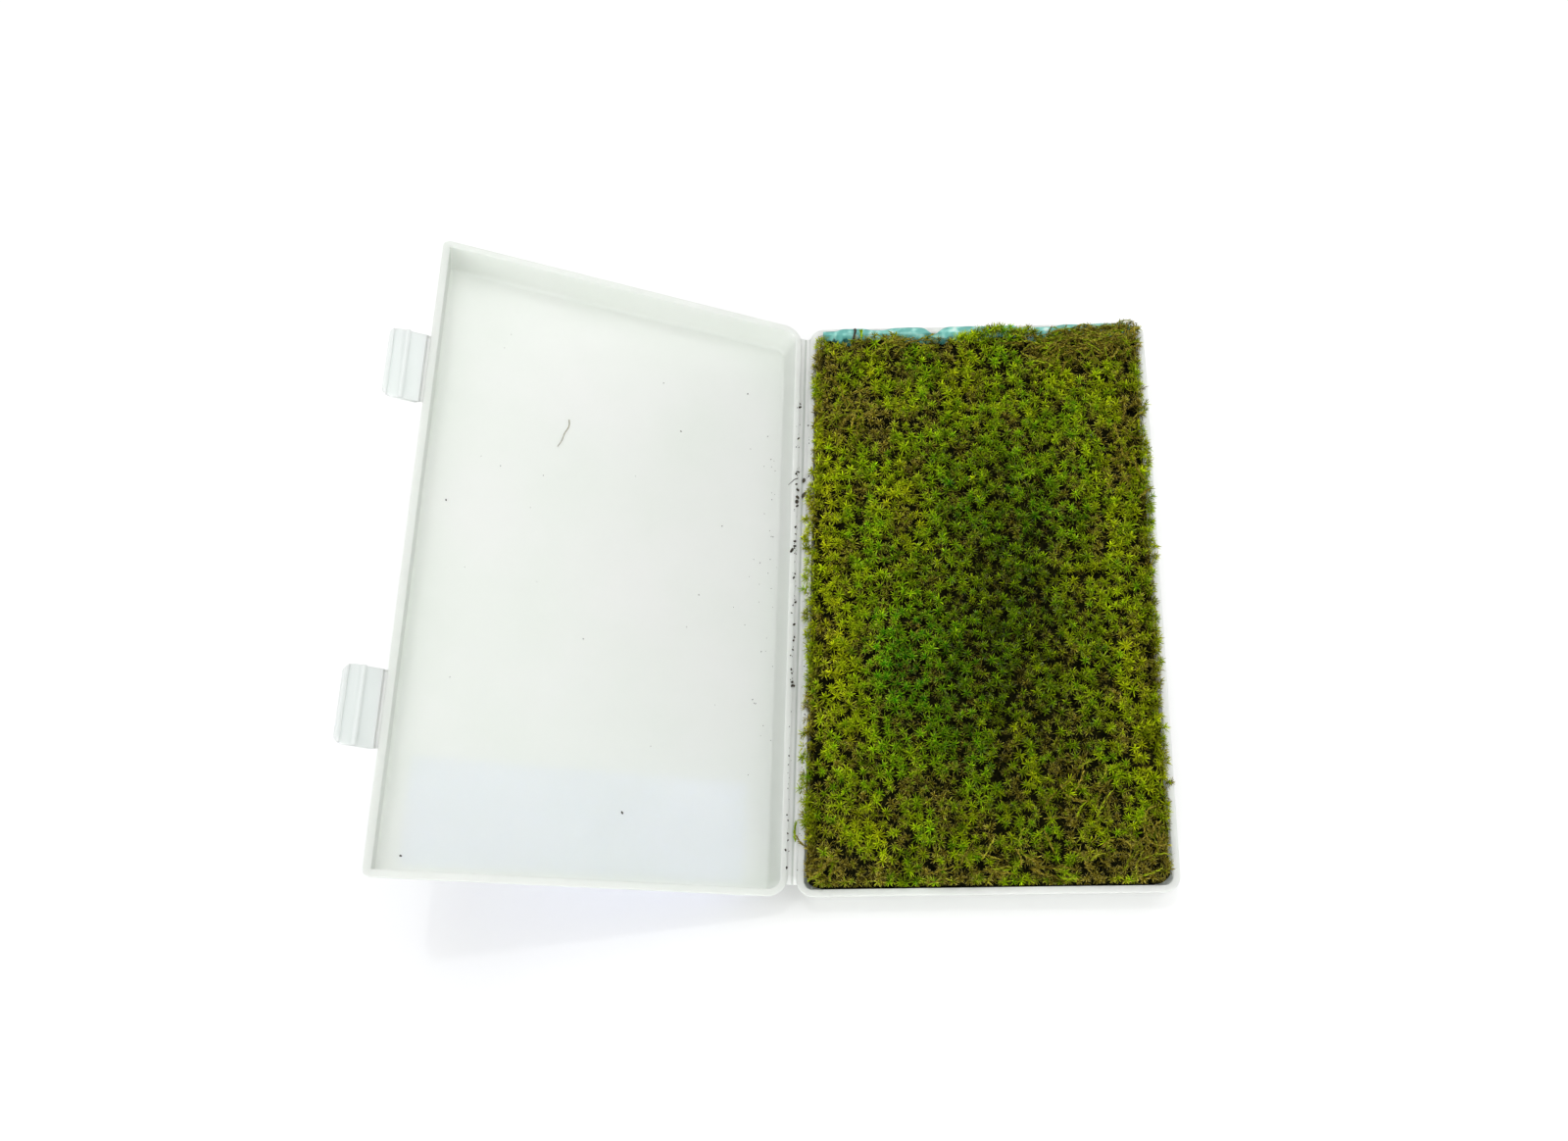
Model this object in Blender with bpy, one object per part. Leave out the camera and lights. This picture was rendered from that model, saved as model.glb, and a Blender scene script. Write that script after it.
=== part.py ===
"""A moss clump packed in a hinged flat case, lying open.

Metres, +Z up. X runs across the case towards the tray's free side, Y runs along the hinge, and the
origin is the centre of the tray's underside. The lid, its label and its latches are modelled as on
the closed case, from the hinge axis, and then turned open.
"""

from math import cos, radians, sin

import bmesh
import bpy
import numpy as np

MM = 0.001

# The case, measured over its rims
CASE_WIDTH = 107 * MM
CASE_LENGTH = 182 * MM
TRAY_HEIGHT = 12.5 * MM
LID_HEIGHT = 11 * MM
TRAY_CORNER = 4.5 * MM
LID_HINGE_CORNER = 5.5 * MM
LID_FREE_CORNER = 2.2 * MM
WALL = 1.2 * MM
RIM_LIP = 0.8 * MM
RIM_HEIGHT = 1.5 * MM
DRAFT = 0.6 * MM
BASE_ROUND = 1.2 * MM
FLOOR_ROUND = 1 * MM
EDGE_ROUND = 0.2 * MM
CLEARANCE = 0.3 * MM

# The living hinge: its fold line is halfway across the web, level with the closed case's parting line
WEB_WIDTH = 2.5 * MM
WEB_LENGTH = CASE_LENGTH - 2 * LID_HINGE_CORNER
WEB_THICKNESS = 0.4 * MM
OPEN_ANGLE = radians(154)
AXIS_X = -(CASE_WIDTH + WEB_WIDTH) / 2
AXIS_Z = TRAY_HEIGHT + CLEARANCE / 2

# The snap latches, measured from their fold line outwards. The plate's inner face is PLATE_INNER
# inside the fold line, its thin root runs from ROOT_START to ROOT_END, and then come hook and end lip
LATCH_Y = 48.8 * MM
LATCH_WIDTH = 21.2 * MM
LATCH_LENGTH = 9.8 * MM
LATCH_CORNER = 2.75 * MM
LATCH_TURNS = {"latch_far": radians(2), "latch_near": radians(16)}
LATCH_AXIS_OUT = 0.45 * MM
LATCH_AXIS_UP = 0.35 * MM
PLATE_INNER = 0.15 * MM
PLATE_OUTER = 0.95 * MM
ROOT_START = 0.15 * MM
ROOT_END = 1.4 * MM
HOOK_START = 4.55 * MM
HOOK_END = 6 * MM
HOOK_DEPTH = 0.65 * MM
END_LIP_START = 8.5 * MM
END_LIP_DEPTH = 0.5 * MM
LATCH_BEVEL = 0.2 * MM
CATCH_TOP = 10.2 * MM
CATCH_BOTTOM = 8.7 * MM
CATCH_WIDTH = 22 * MM

# What lies in the tray and on the lid
LABEL_WIDTH = 89 * MM
LABEL_HEIGHT = 28.6 * MM
LABEL_THICKNESS = 0.15 * MM
LABEL_CORNER = 1 * MM
LABEL_FROM_AXIS = 11.4 * MM
LABEL_FROM_END = 4.8 * MM
LINER_THICKNESS = 0.25 * MM
LINER_WIDTH = 97 * MM
LINER_TOP = TRAY_HEIGHT + 0.4 * MM
LINER_WALL_GAP = 0.4 * MM
MOSS_TOP = 14.6 * MM
MOSS_SWELL = 0.5 * MM
SWELL_ACROSS = 9 * MM
SWELL_ALONG = 13 * MM
SWELL_SLANT = 21 * MM
MOSS_EDGE_ROUND = 2.2 * MM
MOSS_FAR_GAP = 1.2 * MM
MOSS_CELL = 5 * MM


def clear_scene():
    for scene_object in list(bpy.data.objects):
        bpy.data.objects.remove(scene_object, do_unlink=True)


def plastic(name, colour, roughness):
    """An unmetallic Principled material."""
    material = bpy.data.materials.new(name)
    material.use_nodes = True
    shader = material.node_tree.nodes["Principled BSDF"]
    shader.inputs["Base Color"].default_value = (*colour, 1)
    shader.inputs["Roughness"].default_value = roughness
    shader.inputs["Metallic"].default_value = 0
    return material


def add_object(name, bm, material, parent=None):
    """Turns a bmesh into a named object with outward faces, shaded smooth between its sharp edges."""
    bmesh.ops.recalc_face_normals(bm, faces=bm.faces)
    mesh = bpy.data.meshes.new(name)
    bm.to_mesh(mesh)
    bm.free()
    if material:
        mesh.materials.append(material)
    mesh.shade_smooth()
    mesh.set_sharp_from_angle(angle=radians(35))
    made = bpy.data.objects.new(name, mesh)
    made.parent = parent
    bpy.context.scene.collection.objects.link(made)
    return made


def add_helper(name, bm):
    """An object that shapes another one and isn't part of the model."""
    helper = add_object(name, bm, None)
    helper.hide_render = True
    helper.display_type = "WIRE"
    return helper


def combine(target, helper, operation):
    modifier = target.modifiers.new(helper.name, "BOOLEAN")
    modifier.operation = operation
    modifier.object = helper


def arc(centre, radius, start, end, steps=4):
    """Points on an arc from start to end, in degrees."""
    angles = [radians(start + (end - start) * i / steps) for i in range(steps + 1)]
    return [(centre[0] + radius * cos(a), centre[1] + radius * sin(a)) for a in angles]


def rounded_outline(x_low, x_high, half_length, corners, steps=9):
    """A rectangle with its own radius at each corner: free far, hinge far, hinge near, free near."""
    places = ((x_high, 1, 0), (x_low, 1, 90), (x_low, -1, 180), (x_high, -1, 270))
    points = []
    for (x, side, start), radius in zip(places, corners):
        inward = 1 if x == x_low else -1
        centre = (x + inward * radius, side * (half_length - radius))
        points += arc(centre, radius, start, start + 90, steps)
    return points


def wall_profile(height):
    """The shell's section as (inset from the rim, height), from its base round the rim to its floor."""
    wall_foot = RIM_LIP + DRAFT
    inner_foot = RIM_LIP + WALL + DRAFT
    rim_top = height - EDGE_ROUND
    profile = arc((wall_foot + BASE_ROUND, BASE_ROUND), BASE_ROUND, 270, 180)
    profile += [(RIM_LIP, height - RIM_HEIGHT)]
    profile += arc((EDGE_ROUND, height - RIM_HEIGHT + EDGE_ROUND), EDGE_ROUND, 270, 180, 2)
    profile += arc((EDGE_ROUND, rim_top), EDGE_ROUND, 180, 90, 2)
    profile += arc((RIM_LIP + WALL - EDGE_ROUND, rim_top), EDGE_ROUND, 90, 0, 2)
    profile += arc((inner_foot + FLOOR_ROUND, WALL + FLOOR_ROUND), FLOOR_ROUND, 180, 270)
    return profile


def loft(loops):
    """Skins over closed loops of points, in order, and closes both ends."""
    bm = bmesh.new()
    rings = [[bm.verts.new(point) for point in loop] for loop in loops]
    for lower, upper in zip(rings, rings[1:]):
        for i in range(len(lower)):
            j = (i + 1) % len(lower)
            bm.faces.new((lower[i], lower[j], upper[j], upper[i]))
    bm.faces.new(rings[0])
    bm.faces.new(rings[-1])
    return bm


def shell(x_low, corners, height, flip_over=None):
    """An open box with a rim lip, on its base, or upside down with its base at the height flip_over."""
    loops = []
    for inset, level in wall_profile(height):
        outline = rounded_outline(
            x_low + inset,
            x_low + CASE_WIDTH - inset,
            CASE_LENGTH / 2 - inset,
            [max(radius - inset, EDGE_ROUND) for radius in corners],
        )
        z = level if flip_over is None else flip_over - level
        loops.append([(x, y, z) for x, y in outline])
    return loft(loops)


def prism(section, y_low, y_high):
    """A closed section in X and Z, run along Y."""
    return loft([[(x, y, z) for x, z in section] for y in (y_low, y_high)])


def slab(outline, z_low, z_high):
    """A closed outline in X and Y, run along Z."""
    return loft([[(x, y, z) for x, y in outline] for z in (z_low, z_high)])


def make_tray(material):
    """The tray, with a wedge under the rim of its free wall where each latch hooks on."""
    corners = [TRAY_CORNER] * 4
    tray = add_object("case_tray", shell(-CASE_WIDTH / 2, corners, TRAY_HEIGHT), material)
    root = CASE_WIDTH / 2 - RIM_LIP - WALL / 2
    nose = CASE_WIDTH / 2
    wedge = [
        (root, CATCH_BOTTOM),
        (nose, CATCH_BOTTOM),
        (nose, CATCH_BOTTOM + CLEARANCE),
        (root + WALL / 2, CATCH_TOP),
        (root, CATCH_TOP),
    ]
    for name, side in (("far", 1), ("near", -1)):
        middle = side * LATCH_Y
        bm = prism(wedge, middle - CATCH_WIDTH / 2, middle + CATCH_WIDTH / 2)
        combine(tray, add_helper(f"catch_{name}", bm), "UNION")
    return tray


def make_web(name, side, material, parent):
    """Half of the living hinge's web, on the tray's side (-1) or the lid's side (1) of its fold line."""
    near = CLEARANCE / 2
    section = [
        (near, side * near),
        (WEB_WIDTH / 2 - CLEARANCE, side * near),
        (WEB_WIDTH / 2 - CLEARANCE, side * (near + WEB_THICKNESS)),
        (near, side * (near + WEB_THICKNESS)),
    ]
    return add_object(name, prism(section, -WEB_LENGTH / 2, WEB_LENGTH / 2), material, parent)


def make_lid(material):
    """The lid, from the hinge axis: its rim faces down and its panel is on top."""
    corners = [LID_FREE_CORNER, LID_HINGE_CORNER, LID_HINGE_CORNER, LID_FREE_CORNER]
    bm = shell(WEB_WIDTH / 2, corners, LID_HEIGHT, CLEARANCE / 2 + LID_HEIGHT)
    lid = add_object("case_lid", bm, material)
    lid.location = (AXIS_X, 0, AXIS_Z)
    lid.rotation_euler.y = -OPEN_ANGLE
    return lid


def latch_section():
    """The latch's section from its fold line outwards: a thin root, a plate, a hook and an end lip."""
    face = -PLATE_INNER
    return [
        (ROOT_START, face),
        (HOOK_START, face),
        (HOOK_START + LATCH_BEVEL, face - HOOK_DEPTH),
        (HOOK_END - 2 * LATCH_BEVEL, face - HOOK_DEPTH),
        (HOOK_END, face),
        (END_LIP_START, face),
        (END_LIP_START + LATCH_BEVEL, face - END_LIP_DEPTH),
        (LATCH_LENGTH - LATCH_BEVEL, face - END_LIP_DEPTH),
        (LATCH_LENGTH, face - END_LIP_DEPTH + LATCH_BEVEL),
        (LATCH_LENGTH, PLATE_OUTER - LATCH_BEVEL),
        (LATCH_LENGTH - LATCH_BEVEL, PLATE_OUTER),
        (ROOT_END, PLATE_OUTER),
        (ROOT_START + LATCH_BEVEL, PLATE_INNER),
        (ROOT_START, PLATE_INNER),
    ]


def make_latch(name, side, material, lid):
    """A latch, with its origin on its fold line and its free corners rounded."""
    half = LATCH_WIDTH / 2
    latch = add_object(name, prism(latch_section(), -half, half), material, lid)
    latch.location = (
        WEB_WIDTH / 2 + CASE_WIDTH + LATCH_AXIS_OUT,
        side * LATCH_Y,
        LATCH_AXIS_UP,
    )
    latch.rotation_euler.y = LATCH_TURNS[name]
    free = [LATCH_CORNER, EDGE_ROUND, EDGE_ROUND, LATCH_CORNER]
    outline = rounded_outline(-EDGE_ROUND, LATCH_LENGTH + EDGE_ROUND / 2, half - EDGE_ROUND, free)
    blank = add_helper(f"{name}_blank", slab(outline, -LATCH_LENGTH, LATCH_LENGTH))
    blank.parent = latch
    combine(latch, blank, "INTERSECT")
    return latch


def make_label(material, lid):
    """A sticker on the lid's outside, at its near end."""
    middle = LABEL_FROM_END + LABEL_HEIGHT / 2 - CASE_LENGTH / 2
    corners = [LABEL_CORNER] * 4
    outline = rounded_outline(
        LABEL_FROM_AXIS, LABEL_FROM_AXIS + LABEL_WIDTH, LABEL_HEIGHT / 2, corners, 4
    )
    outline = [(x, y + middle) for x, y in outline]
    panel = CLEARANCE / 2 + LID_HEIGHT
    back = panel + CLEARANCE
    return add_object("label", slab(outline, back, back + LABEL_THICKNESS), material, lid)


def make_liner(material):
    """A thin sheet on the tray's floor that turns up along the far wall."""
    floor = WALL + CLEARANCE
    inner_far = CASE_LENGTH / 2 - RIM_LIP - WALL
    foot = inner_far - DRAFT - FLOOR_ROUND
    head = inner_far - LINER_WALL_GAP
    section = [
        (-foot, floor),
        (foot, floor),
        (head - DRAFT, floor + FLOOR_ROUND),
        (head, LINER_TOP),
        (head - LINER_THICKNESS, LINER_TOP),
        (head - DRAFT - LINER_THICKNESS, floor + FLOOR_ROUND),
        (foot - LINER_THICKNESS, floor + LINER_THICKNESS),
        (-foot, floor + LINER_THICKNESS),
    ]
    sides = (-LINER_WIDTH / 2, LINER_WIDTH / 2)
    bm = loft([[(x, y, z) for y, z in section] for x in sides])
    return add_object("liner_sheet", bm, material)


def moss_height(x, y, edge):
    """The mat's top: soft swells, rounded down towards its edge."""
    swell = sin(x / SWELL_ACROSS) * cos(y / SWELL_ALONG) + sin((x + 2 * y) / SWELL_SLANT)
    fall = min(1, max(0, 1 - edge / MOSS_EDGE_ROUND))
    drop = MOSS_EDGE_ROUND * (1 - (1 - fall**2) ** 0.5)
    return MOSS_TOP + MOSS_SWELL * swell * (1 - fall) - drop


def stations(low, high):
    """Grid lines from low to high, closer together on the rounded edges and just past them."""
    shares = (-0.5, 0.05, 0.2, 0.5, 1)
    start = [low + share * MOSS_EDGE_ROUND for share in shares]
    end = [high - share * MOSS_EDGE_ROUND for share in reversed(shares)]
    cells = round((end[0] - start[-1]) / MOSS_CELL)
    return start + list(np.linspace(start[-1], end[0], cells + 1)[1:-1]) + end


def make_moss(material):
    """The grown mat, as a closed block up to its tips, cut to the tray's inside with a clearance."""
    side = CASE_WIDTH / 2 - RIM_LIP - WALL - CLEARANCE
    near = -(CASE_LENGTH / 2 - RIM_LIP - WALL - CLEARANCE)
    far = -near - MOSS_FAR_GAP
    xs = stations(-side, side)
    ys = stations(near, far)
    bottom = WALL + 2 * CLEARANCE + LINER_THICKNESS
    bm = bmesh.new()
    top = {}
    for i, x in enumerate(xs):
        for j, y in enumerate(ys):
            edge = min(x + side, side - x, y - near, far - y)
            top[i, j] = bm.verts.new((x, y, moss_height(x, y, edge)))
    for i in range(len(xs) - 1):
        for j in range(len(ys) - 1):
            bm.faces.new((top[i, j], top[i + 1, j], top[i + 1, j + 1], top[i, j + 1]))
    edges = [edge for edge in bm.edges if edge.is_boundary]
    skirt = bmesh.ops.extrude_edge_only(bm, edges=edges)["geom"]
    foot = [made for made in skirt if isinstance(made, bmesh.types.BMVert)]
    for vert in foot:
        vert.co.z = bottom - CLEARANCE
    bmesh.ops.edgeloop_fill(bm, edges=[e for e in bm.edges if e.is_boundary])
    moss = add_object("moss_clump", bm, material)
    loops = []
    for z, inset in ((bottom, DRAFT + FLOOR_ROUND), (bottom + FLOOR_ROUND, DRAFT), (TRAY_HEIGHT, 0)):
        outline = rounded_outline(-side + inset, side - inset, -near - inset, [TRAY_CORNER] * 4)
        cut_back = [(x, min(y, far - inset), z) for x, y in outline]
        loops.append(cut_back)
    loops.append([(x, y, MOSS_TOP + 2 * MOSS_EDGE_ROUND) for x, y, z in loops[-1]])
    combine(moss, add_helper("moss_blank", loft(loops)), "INTERSECT")
    return moss


clear_scene()
natural_pp = plastic("natural_polypropylene", (0.84, 0.88, 0.83), 0.45)
white_paper = plastic("white_label_paper", (0.85, 0.87, 0.88), 0.7)
teal_film = plastic("teal_liner_film", (0.2, 0.6, 0.55), 0.5)
green_moss = plastic("star_moss", (0.07, 0.09, 0.01), 0.9)

make_tray(natural_pp)
web = make_web("hinge_web_tray_side", -1, natural_pp, None)
web.location = (AXIS_X, 0, AXIS_Z)
make_liner(teal_film)
make_moss(green_moss)
case_lid = make_lid(natural_pp)
make_web("hinge_web_lid_side", 1, natural_pp, case_lid)
make_label(white_paper, case_lid)
make_latch("latch_far", 1, natural_pp, case_lid)
make_latch("latch_near", -1, natural_pp, case_lid)
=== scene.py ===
from math import cos, pi, radians, sin, tau

import bmesh
import bpy
import numpy as np
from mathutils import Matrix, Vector, noise


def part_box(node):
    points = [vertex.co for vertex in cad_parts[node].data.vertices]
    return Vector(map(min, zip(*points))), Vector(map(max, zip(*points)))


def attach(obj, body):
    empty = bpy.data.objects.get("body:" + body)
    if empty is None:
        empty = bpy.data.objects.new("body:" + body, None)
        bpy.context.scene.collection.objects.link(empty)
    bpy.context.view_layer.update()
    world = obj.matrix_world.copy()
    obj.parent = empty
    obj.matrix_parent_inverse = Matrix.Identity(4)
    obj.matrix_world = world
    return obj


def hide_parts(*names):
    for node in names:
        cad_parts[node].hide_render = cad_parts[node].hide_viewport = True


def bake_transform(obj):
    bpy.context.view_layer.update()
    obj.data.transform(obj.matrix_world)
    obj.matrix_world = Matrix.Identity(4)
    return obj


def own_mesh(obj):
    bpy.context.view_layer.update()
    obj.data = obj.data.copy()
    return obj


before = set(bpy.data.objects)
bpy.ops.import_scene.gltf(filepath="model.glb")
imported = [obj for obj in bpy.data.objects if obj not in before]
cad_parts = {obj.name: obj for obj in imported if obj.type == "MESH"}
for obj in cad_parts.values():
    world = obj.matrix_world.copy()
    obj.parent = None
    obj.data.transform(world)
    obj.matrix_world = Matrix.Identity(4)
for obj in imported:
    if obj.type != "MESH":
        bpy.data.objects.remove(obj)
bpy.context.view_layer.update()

MM = 0.001

# ---- Camera ----------------------------------------------------------------------------------
# A camera on a boom over the table, a little in front of the case and looking down on it, with a
# wide lens, so that the raised side of the lid looks larger than the hinge side.
boom_camera = bpy.data.objects.new("boom_camera", bpy.data.cameras.new("boom_camera"))
bpy.context.scene.collection.objects.link(boom_camera)
boom_camera.location = (-6.3 * MM, -134.3 * MM, 339.7 * MM)
boom_camera.rotation_euler = (radians(16.4), radians(1.28), radians(-0.58))
boom_camera.data.lens = 26.94
boom_camera.data.sensor_width = 36
boom_camera.data.shift_x = -0.10
boom_camera.data.shift_y = 0.09
boom_camera.data.clip_start = 0.01
bpy.context.scene.camera = boom_camera

# ---- Case tray -------------------------------------------------------------------------------
# The tray is injection-moulded in natural, unpigmented polypropylene against a finely etched mould:
# milky, letting light through its thin walls, with a soft frosted shine.
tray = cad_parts["case_tray"]
tray_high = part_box("case_tray")[1]
rim_z = tray_high.z
WALL = 1.2 * MM
RIM_LIP = 0.8 * MM
inner_x = tray_high.x - RIM_LIP - WALL
inner_y = tray_high.y - RIM_LIP - WALL


def linear(colour):
    """An sRGB hex colour as linear RGBA."""
    values = [int(colour[i : i + 2], 16) / 255 for i in (1, 3, 5)]
    return (*(v / 12.92 if v <= 0.04045 else ((v + 0.055) / 1.055) ** 2.4 for v in values), 1)


def new_finish(name, **settings):
    """A material and its Principled shader, with these inputs set."""
    material = bpy.data.materials.new(name)
    material.use_nodes = True
    shader = material.node_tree.nodes["Principled BSDF"]
    for label, value in settings.items():
        shader.inputs[label.replace("_", " ").title().replace("Ior", "IOR")].default_value = value
    return material, shader


def add_node(material, kind, settings=None, links=None, **attributes):
    """Adds a node with its attributes, input values and (input, source output) links."""
    made = material.node_tree.nodes.new(kind)
    for key, value in attributes.items():
        setattr(made, key, value)
    for key, value in (settings or {}).items():
        made.inputs[key].default_value = value
    for key, source in (links or {}).items():
        material.node_tree.links.new(source, made.inputs[key])
    return made


def ramp(material, source, stops):
    """A colour ramp fed by one number, from (position, colour) stops."""
    made = add_node(material, "ShaderNodeValToRGB", links={"Fac": source})
    ends = made.color_ramp.elements
    for end, (position, colour) in ((ends[0], stops[0]), (ends[1], stops[-1])):
        end.position = position
        end.color = linear(colour)
    for position, colour in stops[1:-1]:
        ends.new(position).color = linear(colour)
    return made.outputs["Color"]


def noise_on(material, size, detail):
    """Noise fixed to the piece, with patches about size across."""
    place = add_node(material, "ShaderNodeTexCoord").outputs["Object"]
    settings = {"Scale": 1 / size, "Detail": detail}
    return add_node(material, "ShaderNodeTexNoise", settings, {"Vector": place}).outputs["Fac"]


def frosted_polypropylene(name, tint, milk):
    """Etched mould grain and cloudy flow on milky plastic. milk is the share that scatters."""
    material, shader = new_finish(name, roughness=0.42, ior=1.49, transmission_weight=1 - milk)
    # Light wanders a few millimetres inside the plastic, so that its thin walls glow.
    shader.inputs["Subsurface Weight"].default_value = 0.85
    shader.inputs["Subsurface Radius"].default_value = (1, 1, 1)
    shader.inputs["Subsurface Scale"].default_value = 2.5 * MM
    etch = noise_on(material, 0.5 * MM, 3)
    flow = noise_on(material, 38 * MM, 4)
    shade = ramp(material, flow, ((0.3, tint[0]), (0.7, tint[1])))
    sheen = add_node(material, "ShaderNodeMapRange", {"To Min": 0.34, "To Max": 0.5}, {"Value": etch})
    depth = {"Strength": 0.25, "Distance": 0.05 * MM}
    grain = add_node(material, "ShaderNodeBump", depth, {"Height": etch})
    wires = material.node_tree.links
    wires.new(shade, shader.inputs["Base Color"])
    wires.new(sheen.outputs["Result"], shader.inputs["Roughness"])
    wires.new(grain.outputs["Normal"], shader.inputs["Normal"])
    return material


def dress(node, material):
    """Gives a CAD node its finish, smooth between its real edges."""
    node.data.materials.clear()
    node.data.materials.append(material)
    weld = node.modifiers.new("joined_faces", "WELD")
    weld.merge_threshold = 0.005 * MM
    node.data.shade_smooth()
    node.data.set_sharp_from_angle(angle=radians(38))
    # Flat faces stay evenly lit up to the small rounds along their edges.
    even = node.modifiers.new("even_shading", "WEIGHTED_NORMAL")
    even.keep_sharp = True


case_plastic = frosted_polypropylene("frosted_moulded_polypropylene", ("#eef4ec", "#f4f8f2"), 0.66)
dress(tray, case_plastic)

# ---- Liner film ------------------------------------------------------------------------------
# A thin teal polyethylene film lies under the moss. It was pushed in by hand, so the part that turns
# up the far wall is crumpled. It folds over onto the rim, where the moss leaves it bare on the left.
FILM_THICKNESS = 0.06 * MM
FILM_HALF_WIDTH = 49.2 * MM


def drift(x, y, size, seed):
    """A smooth field with a spread of 1 whose patches are about size across."""
    dice = np.random.default_rng(seed)
    total = 0
    for _ in range(8):
        heading = dice.uniform(0, tau)
        wave = tau / (size * dice.uniform(1.5, 3))
        total = total + np.cos(wave * (x * cos(heading) + y * sin(heading)) + dice.uniform(0, tau))
    return total / 2


def soft_step(value, low, high):
    """0 below low, 1 above high, and smooth between."""
    share = np.clip((value - low) / (high - low), 0, 1)
    return share * share * (3 - 2 * share)


def add_object(name, mesh, material):
    """An object in the scene from a mesh and its one material."""
    mesh.materials.clear()
    mesh.materials.append(material)
    made = bpy.data.objects.new(name, mesh)
    bpy.context.scene.collection.objects.link(made)
    return made


def mesh_piece(name, corners, triangles, material, fields=None):
    """An object from arrays of corners and triangles, with a number at each corner for each field."""
    mesh = bpy.data.meshes.new(name)
    mesh.vertices.add(len(corners))
    mesh.vertices.foreach_set("co", np.asarray(corners, np.float32).ravel())
    mesh.loops.add(3 * len(triangles))
    mesh.loops.foreach_set("vertex_index", np.asarray(triangles, np.int32).ravel())
    mesh.polygons.add(len(triangles))
    mesh.polygons.foreach_set("loop_start", 3 * np.arange(len(triangles), dtype=np.int32))
    for field, values in (fields or {}).items():
        layer = mesh.attributes.new(field, "FLOAT", "POINT")
        layer.data.foreach_set("value", np.asarray(values, np.float32).ravel())
    mesh.update()
    mesh.validate()
    mesh.shade_smooth()
    return add_object(name, mesh, material)


def lattice(rows, columns):
    """The triangles of a grid of corners, row by row."""
    first = (np.arange(rows - 1)[:, None] * columns + np.arange(columns - 1)).ravel()
    lower = np.stack([first, first + 1, first + columns + 1], -1)
    upper = np.stack([first, first + columns + 1, first + columns], -1)
    return np.concatenate([lower, upper])


# The film's way from the near end of the floor up the far wall and over the rim, as (y, z).
film_way = np.array(
    [(-86, 1.6), (86, 1.6), (87.6, 2.4), (88.3, 6), (88.5, 11.5), (88.75, 12.4), (89.1, 12.62), (91.1, 12.6)]
)
film_way *= MM
# Lengths along the film count from the place on the floor at y = 40 mm.
way_along = np.concatenate([[0], np.cumsum(np.linalg.norm(np.diff(film_way, axis=0), axis=1))])
way_along -= 126 * MM
flat_steps = np.linspace(way_along[0], 0.9 * way_along[1], 14)
film_steps = np.concatenate([flat_steps, np.linspace(0.92 * way_along[1], way_along[-1], 52)])
film_x = np.linspace(-FILM_HALF_WIDTH, FILM_HALF_WIDTH, 260)
along, across = np.meshgrid(film_steps, film_x, indexing="ij")
turned_up = soft_step(along, way_along[2], way_along[4])
over_rim = soft_step(along, way_along[4], way_along[6])
# The folded edge is cut short at one notch and wavy elsewhere.
gap = 0.75 * np.exp(-(((across + 13.5 * MM) / (2.4 * MM)) ** 2))
cover = np.clip(0.97 - gap - 0.25 * soft_step(drift(across, 0 * across, 9 * MM, 5), 0.2, 1.2), 0.12, 1)
along = np.minimum(along, way_along[4]) + np.maximum(along - way_along[4], 0) * cover
film_y = np.interp(along, way_along, film_way[:, 0])
film_z = np.interp(along, way_along, film_way[:, 1])
crumple = np.abs(drift(across, along, 2.6 * MM, 11)) + 0.7 * np.abs(drift(across, along, 1.1 * MM, 12))
streaks = drift(0.3 * across, along, 0.7 * MM, 15) + 0.6 * drift(across, 0.5 * along, 0.9 * MM, 16)
film_y -= (0.55 * MM) * crumple * turned_up * (1 - over_rim)
film_z += (0.035 * MM) * drift(across, along, 2.5 * MM, 13) * over_rim
teal_film, film_shader = new_finish("crumpled_teal_polyethylene_film", roughness=0.3, ior=1.5)
fold_light = add_node(teal_film, "ShaderNodeAttribute", attribute_name="fold")
film_stops = ((0, "#62b8ae"), (0.45, "#90dcd0"), (1, "#d8f4ea"))
film_colour = ramp(teal_film, fold_light.outputs["Fac"], film_stops)
teal_film.node_tree.links.new(film_colour, film_shader.inputs["Base Color"])
film_shader.inputs["Transmission Weight"].default_value = 0.25
fold_shade = 0.62 - 0.26 * crumple + 0.2 * drift(across, along, 8 * MM, 14) + 0.24 * streaks
liner = mesh_piece(
    "liner_film",
    np.stack([across, film_y, film_z], -1).reshape(-1, 3),
    lattice(*across.shape),
    teal_film,
    {"fold": np.clip(fold_shade, 0, 1)},
)
film_body = liner.modifiers.new("film_thickness", "SOLIDIFY")
film_body.thickness = FILM_THICKNESS
film_body.offset = 0
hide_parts("liner_sheet")
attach(liner, "tray")

# ---- Moss felt -------------------------------------------------------------------------------
# Below the green tips the mat is a dense brown felt of dead stems and root hairs, packed down into
# the tray. It is the dark ground seen between the shoots, coloured near black as painted shade there.
FELT_STEP = 0.9 * MM
FELT_BELOW_TIPS = 4.2 * MM
MAT_NEAR = -88.4 * MM
MAT_FAR = 87.9 * MM
MAT_HALF = 51.2 * MM


def patch(x, y, centre, radii):
    """A soft elliptical patch, 1 at its centre, from a centre and radii in millimetres."""
    return np.exp(
        -(((x / MM - centre[0]) / radii[0]) ** 2) - (((y / MM - centre[1]) / radii[1]) ** 2)
    )


def wetness(x, y):
    """Where the mat is soaked and dark: a long patch down the middle."""
    return patch(x, y, (8, -10), (26, 60))


def mat_height(x, y):
    """The height of the green tips: uneven, sunk where the mat is soaked, lower at the far end."""
    swell = 0.55 * drift(x, y, 22 * MM, 21) + 0.35 * drift(x, y, 8 * MM, 22)
    end_drop = 0.5 * soft_step(y, MAT_FAR - 5 * MM, MAT_FAR + 1 * MM)
    return (14.3 + swell - 0.9 * wetness(x, y) - end_drop) * MM


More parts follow.
